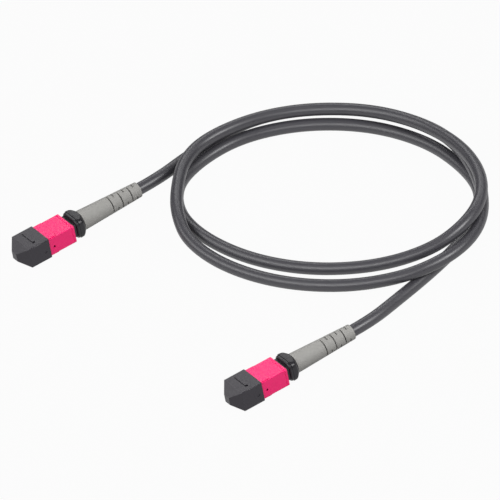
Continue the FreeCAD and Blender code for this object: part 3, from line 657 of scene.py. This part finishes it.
# Silicone rubber, moulded: dark and dull.
soft_rubber = moulded(
    "silicone_black", "#303032",
    roughness=0.7, ior=1.41, grain_mm=0.2, grain_depth_mm=0.008, mottle=0.08,
)
plastics = (sheath, cap_plastic, sleeve_plastic, frame_plastic, boot_rubber, ferrule_resin, soft_rubber)
print("plastics and rubbers:", ", ".join(material.name for material in plastics))

# %% [markdown]
# Metals, coating and glass
# The springs are drawn wire, so they shine, with small marks from the die. The crimp ring is turned
# aluminium with rings from the cutting tool. The ribbon's coating is clear over coloured fibres, one
# colour for each, in the order that cable makers use. The fibre ends are polished glass.

# %% Spring steel
# Stainless wire, drawn through a die: bright, with small marks. Real marks are finer, and are drawn nearly
# a tenth of a millimetre wide so that they show.
DIE_MARK = 0.08
# The node that mixes two colours keeps its share, its two colours and its result at these sockets.
MIX_SHARE, MIX_FIRST, MIX_SECOND, MIX_RESULT = 0, 6, 7, 2
spring_steel, shader = new_finish("stainless_spring_wire", Metallic=1.0, Roughness=0.28)
where = add_node(spring_steel, "ShaderNodeTexCoord", {}).outputs["Object"]
die_marks = add_node(
    spring_steel, "ShaderNodeTexNoise",
    {"Vector": where, "Scale": 1 / (DIE_MARK * MM), "Detail": GRAIN_DETAIL},
).outputs["Fac"]
steel_tone = add_node(
    spring_steel, "ShaderNodeMix",
    {MIX_SHARE: die_marks, MIX_FIRST: linear("#A9A9AB"), MIX_SECOND: linear("#D2D2D4")},
    data_type="RGBA",
)
spring_steel.node_tree.links.new(steel_tone.outputs[MIX_RESULT], shader.inputs["Base Color"])
print("springs are of", spring_steel.name)

# %% Crimp metal
# Aluminium, turned: pale, with rings from the tool. Real rings are a tenth of a millimetre apart, and are
# drawn wider so that they show. The wave repeats every tau / 20 at a scale of one.
TOOL_RING_PITCH = 0.9425
TOOL_RING_DEPTH = 0.01
TOOL_RING_WANDER = 0.4
WAVES_AT_SCALE_ONE = 20 / math.tau
crimp_metal, shader = new_finish("turned_aluminium", Metallic=1.0, Roughness=0.35)
where = add_node(crimp_metal, "ShaderNodeTexCoord", {}).outputs["Object"]
tool_rings = add_node(
    crimp_metal, "ShaderNodeTexWave",
    {
        "Vector": where, "Scale": 1 / (WAVES_AT_SCALE_ONE * TOOL_RING_PITCH * MM),
        "Distortion": TOOL_RING_WANDER,
    },
    bands_direction="Y",
).outputs["Fac"]
ring_tone = add_node(
    crimp_metal, "ShaderNodeMix",
    {MIX_SHARE: tool_rings, MIX_FIRST: linear("#BDBEC0"), MIX_SECOND: linear("#DCDDDE")},
    data_type="RGBA",
)
ring_bump = add_node(
    crimp_metal, "ShaderNodeBump", {"Height": tool_rings, "Distance": TOOL_RING_DEPTH * MM}
)
crimp_metal.node_tree.links.new(ring_tone.outputs[MIX_RESULT], shader.inputs["Base Color"])
crimp_metal.node_tree.links.new(ring_bump.outputs["Normal"], shader.inputs["Normal"])
print("crimp rings are of", crimp_metal.name)

# %% Ribbon coating
# Acrylate, cured on the fibres: smooth and clear, so the colour of each fibre shows.
FIBRE_COLOURS = (
    "#2F62B5", "#E08030", "#3A9A4A", "#7A4A2A", "#8A8C8E", "#EDEDEA",
    "#C03030", "#2A2A2A", "#E8D040", "#7A4A9A", "#E8A0B0", "#50B8C0",
)


def ribbon_coating(name, middle, width):
    """Twelve coloured stripes across a ribbon that lies along y."""
    material, shader = new_finish(name, Roughness=0.3, IOR=1.48)
    where = add_node(material, "ShaderNodeTexCoord", {}).outputs["Object"]
    across = add_node(material, "ShaderNodeSeparateXYZ", {"Vector": where}).outputs["X"]
    share = add_node(
        material, "ShaderNodeMapRange",
        {"Value": across, "From Min": middle - width / 2, "From Max": middle + width / 2},
    ).outputs["Result"]
    stripes = add_node(material, "ShaderNodeValToRGB", {"Fac": share})
    ramp = stripes.color_ramp
    ramp.interpolation = "CONSTANT"
    ramp.elements.remove(ramp.elements[1])
    ramp.elements[0].color = linear(FIBRE_COLOURS[0])
    for i, colour in enumerate(FIBRE_COLOURS[1:], start=1):
        ramp.elements.new(i / FIBRES).color = linear(colour)
    material.node_tree.links.new(stripes.outputs["Color"], shader.inputs["Base Color"])
    return material


print("ribbon colours:", len(FIBRE_COLOURS))

# %% Fibre glass
# Fused silica, polished: bright and clear, with a slight change of tone from fibre to fibre.
FIBRE_TONE_SIZE = 0.05
FIBRE_TONE_DETAIL = 1.0
fibre_glass, shader = new_finish("fused_silica", Roughness=0.08, IOR=1.458)
where = add_node(fibre_glass, "ShaderNodeTexCoord", {}).outputs["Object"]
speck = add_node(
    fibre_glass, "ShaderNodeTexNoise",
    {"Vector": where, "Scale": 1 / (FIBRE_TONE_SIZE * MM), "Detail": FIBRE_TONE_DETAIL},
).outputs["Fac"]
glass_tone = add_node(
    fibre_glass, "ShaderNodeMix",
    {MIX_SHARE: speck, MIX_FIRST: linear("#B8C4C8"), MIX_SECOND: linear("#E2EAEC")},
    data_type="RGBA",
)
fibre_glass.node_tree.links.new(glass_tone.outputs[MIX_RESULT], shader.inputs["Base Color"])
print("fibre ends are of", fibre_glass.name)

# %% [markdown]
# Dressing the pieces
# The solids keep their shape. A modifier rounds their edges by about a tenth of a millimetre, because no
# moulded edge is sharp and the narrow rounding catches the light.

# %% Dress every piece
# The finish of each solid and the width of its rounded edges, in millimetres.
NODE_FINISHES = {
    "dust_cap": (cap_plastic, 0.12),
    "coupling_sleeve": (sleeve_plastic, 0.1),
    "back_post": (frame_plastic, 0.1),
    "plug_frame": (frame_plastic, 0.06),
    "pin_spacer": (frame_plastic, 0.05),
    "ferrule": (ferrule_resin, 0.04),
    "ferrule_boot": (soft_rubber, 0.05),
    "crimp_ring": (crimp_metal, 0.06),
}
for end in ENDS:
    for name, (material, width) in NODE_FINISHES.items():
        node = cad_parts[f"{name}_{end}"]
        finish(node, material)
        soften_edges(node, width)
    finish(boots[end], boot_rubber)
    finish(shoulders[end], frame_plastic)
for ribbon in ribbons:
    xs = [corner[0] for corner in ribbon.bound_box]
    finish(ribbon, ribbon_coating(f"acrylate_{ribbon.name}", (min(xs) + max(xs)) / 2, max(xs) - min(xs)))
for piece in springs:
    finish(piece, spring_steel)
for dots in fibre_ends:
    finish(dots, fibre_glass)
finish(cable, sheath)
print("finishes:", len(bpy.data.materials))

# %% [markdown]
# Floor and light
# The cable lies on white paper. Soft lights stand round it at the viewer's own height, because there
# a round cable that lies flat mirrors them along its middle, whichever way it runs. Those at the back
# are weak, since the faces that look up mirror them too. The paper shows the camera and the mirrors its
# white, and still takes the shadows.

# %% Floor
FLOOR_REACH = 3
FLOOR_DROP = 0.2
floor_mesh = bpy.data.meshes.new("floor")
shape = bmesh.new()
bmesh.ops.create_grid(shape, x_segments=1, y_segments=1, size=FLOOR_REACH)
shape.to_mesh(floor_mesh)
shape.free()
floor = bpy.data.objects.new("floor", floor_mesh)
scene.collection.objects.link(floor)
floor.location.z = -FLOOR_DROP * MM
floor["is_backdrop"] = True
print(f"floor: {2 * FLOOR_REACH} m wide")

# %% Paper
# White paper, uncoated: dull. It glows a little short of full white where the camera or a mirror sees it.
PAPER_GLOW = 0.96
paper, shader = new_finish("white_paper", Base_Color=linear("#707070"), Roughness=0.9)
rays = add_node(paper, "ShaderNodeLightPath", {})
mirrored = add_node(
    paper, "ShaderNodeMath",
    {0: rays.outputs["Is Glossy Ray"], 1: rays.outputs["Is Transmission Ray"]}, operation="MAXIMUM",
).outputs[0]
seen = add_node(
    paper, "ShaderNodeMath", {0: rays.outputs["Is Camera Ray"], 1: mirrored}, operation="MAXIMUM"
).outputs[0]
share = add_node(paper, "ShaderNodeMath", {0: seen, 1: PAPER_GLOW}, operation="MULTIPLY").outputs[0]
glow = add_node(paper, "ShaderNodeEmission", {"Color": (1, 1, 1, 1), "Strength": 1.0})
mix = add_node(
    paper, "ShaderNodeMixShader", {0: share, 1: shader.outputs["BSDF"], 2: glow.outputs["Emission"]}
)
paper.node_tree.links.new(mix.outputs[0], paper.node_tree.nodes["Material Output"].inputs["Surface"])
floor_mesh.materials.append(paper)
print("floor is of", paper.name)

# %% Room light
ROOM_LIGHT = 0.03
world = bpy.data.worlds.new("studio")
world.use_nodes = True
world.node_tree.nodes["Background"].inputs["Color"].default_value = (1, 1, 1, 1)
world.node_tree.nodes["Background"].inputs["Strength"].default_value = ROOM_LIGHT
scene.world = world


def softbox(name, direction, away, size, power):
    """A round area light that looks at the middle of the view."""
    lamp = bpy.data.lights.new(name, "AREA")
    lamp.shape = "DISK"
    lamp.size = size
    lamp.energy = power
    holder = bpy.data.objects.new(name, lamp)
    scene.collection.objects.link(holder)
    holder.location = VIEW_CENTRE + direction.normalized() * away
    holder.rotation_mode = "QUATERNION"
    holder.rotation_quaternion = direction.to_track_quat("Z", "Y")


# %% Lights
# Distances and sizes are in metres.
LIGHT_DISTANCE = 1.2
LIGHT_SIZE = 0.5
VIEWER_LIGHT_DISTANCE = 1.1
VIEWER_WATTS = 2.5
TOP_LIGHT_SIZE = 0.6
TOP_WATTS = 1.2
# The watts of each light of the round, by its angle from the viewer, seen from above.
WATTS_BY_DEGREES = {60: 9.0, 120: 1.0, 150: 1.2, 180: 1.9, 240: 2.0, 270: 3.4, 300: 3.7, 330: 3.7}
for degrees, power in WATTS_BY_DEGREES.items():
    direction = Quaternion((0, 0, 1), math.radians(degrees)) @ towards_viewer
    softbox(f"round_light_{degrees}", direction, LIGHT_DISTANCE, LIGHT_SIZE, power)
softbox("viewer_light", towards_viewer, VIEWER_LIGHT_DISTANCE, LIGHT_SIZE, VIEWER_WATTS)
softbox("top_light", Vector((0, 0, 1)), LIGHT_DISTANCE, TOP_LIGHT_SIZE, TOP_WATTS)
print("lights:", len(bpy.data.lights))

# %% [markdown]
# Sizes
# The sizes of both boxes, the solid model's and the dressed part's, are printed in millimetres. The
# dressed part has to stay the size of the solid model.

# %% Sizes
bpy.context.view_layer.update()
boxes = {"cad": CAD_BOX, "visual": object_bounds()}
for name, (lowest, highest) in boxes.items():
    print(name, [round((b - a) / MM, 1) for a, b in zip(lowest, highest)])
